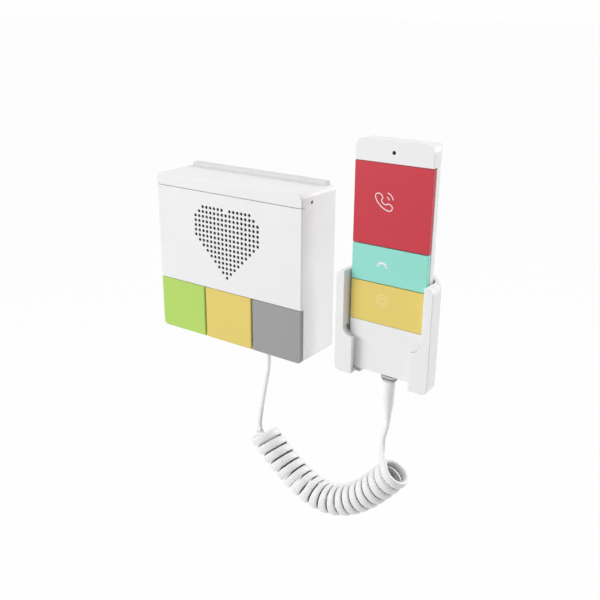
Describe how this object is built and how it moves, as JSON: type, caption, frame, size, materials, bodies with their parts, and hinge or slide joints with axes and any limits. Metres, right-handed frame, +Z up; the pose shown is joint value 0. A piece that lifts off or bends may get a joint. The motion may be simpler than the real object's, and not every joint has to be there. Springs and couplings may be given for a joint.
{
  "type": "healthcare intercom",
  "caption": "White wall intercom with a heart-shaped speaker grille and wide coloured keys, a corded call handset with coloured keys, and its wall cradle.",
  "frame": {"origin": "middle of the main unit's wall bracket, on the wall's surface", "axes": "+X right along the wall, from the main unit to the cradle; +Y into the wall; +Z up"},
  "size_m": [0.2038, 0.037, 0.2632],
  "materials": {
    "casing_white": "fine moulded grain, satin",
    "cover_grey": "fine moulded grain",
    "frame_dark": "plain moulded",
    "grille_black": "woven acoustic cloth",
    "rubber_black": "matt",
    "speaker_metal": "black lacquer",
    "cone_black": "pressed film",
    "magnet_iron": "plain ferrite",
    "board_green": "solder mask",
    "switch_grey": "plain moulded",
    "steel": "zinc plated",
    "terminal_green": "plain moulded",
    "capsule_metal": "drawn can, black felt face",
    "cord_white": "smooth jacket, satin",
    "collar_grey": "plain moulded",
    "key_green": "fine moulded grain, satin",
    "key_yellow": "fine moulded grain, satin",
    "key_grey": "fine moulded grain, satin",
    "key_red": "fine moulded grain, satin",
    "key_cyan": "fine moulded grain, satin"
  },
  "bodies": {
    "base": {"wall_bracket": "steel", "rear_cover": "cover_grey", "housing": "casing_white", "front_panel": "casing_white", "key_frame": "frame_dark", "grille_cloth": "grille_black", "speaker_gasket": "rubber_black", "speaker_basket": "speaker_metal", "speaker_cone": "cone_black", "speaker_magnet": "magnet_iron", "main_board": "board_green", "key_switches": "switch_grey", "network_jack": "steel", "terminal_block": "terminal_green", "microphone": "capsule_metal", "microphone_boot": "rubber_black", "cover_screws": "steel", "cord_grommet": "cord_white", "cradle": "casing_white", "cord_lead": "cord_white", "cord_coil": "cord_white", "cord_tail": "cord_white"},
    "handset": {"handset_front": "casing_white", "handset_rear": "casing_white", "handset_board": "board_green", "handset_switches": "switch_grey", "handset_microphone": "capsule_metal", "handset_screws": "steel", "cord_collar": "collar_grey", "strain_relief": "cord_white"},
    "green_key": {"button_green": "key_green"},
    "yellow_key": {"button_yellow": "key_yellow"},
    "grey_key": {"button_grey": "key_grey"},
    "handset_red_key": {"handset_button_red": "key_red"},
    "handset_cyan_key": {"handset_button_cyan": "key_cyan"},
    "handset_yellow_key": {"handset_button_yellow": "key_yellow"}
  },
  "joints": [
    {"name": "handset_lift", "type": "slide", "parent": "base", "child": "handset", "axis": [0, 0, 1], "range_m": [0, 0.07]},
    {"name": "green_key_press", "type": "slide", "parent": "base", "child": "green_key", "axis": [0, 1, 0], "range_m": [0, 0.001], "stiffness_N_per_m": 2000},
    {"name": "yellow_key_press", "type": "slide", "parent": "base", "child": "yellow_key", "axis": [0, 1, 0], "range_m": [0, 0.001], "stiffness_N_per_m": 2000},
    {"name": "grey_key_press", "type": "slide", "parent": "base", "child": "grey_key", "axis": [0, 1, 0], "range_m": [0, 0.001], "stiffness_N_per_m": 2000},
    {"name": "handset_red_press", "type": "slide", "parent": "handset", "child": "handset_red_key", "axis": [0, 1, 0], "range_m": [0, 0.0008], "stiffness_N_per_m": 2000},
    {"name": "handset_cyan_press", "type": "slide", "parent": "handset", "child": "handset_cyan_key", "axis": [0, 1, 0], "range_m": [0, 0.0008], "stiffness_N_per_m": 2000},
    {"name": "handset_yellow_press", "type": "slide", "parent": "handset", "child": "handset_yellow_key", "axis": [0, 1, 0], "range_m": [0, 0.0008], "stiffness_N_per_m": 2000}
  ]
}
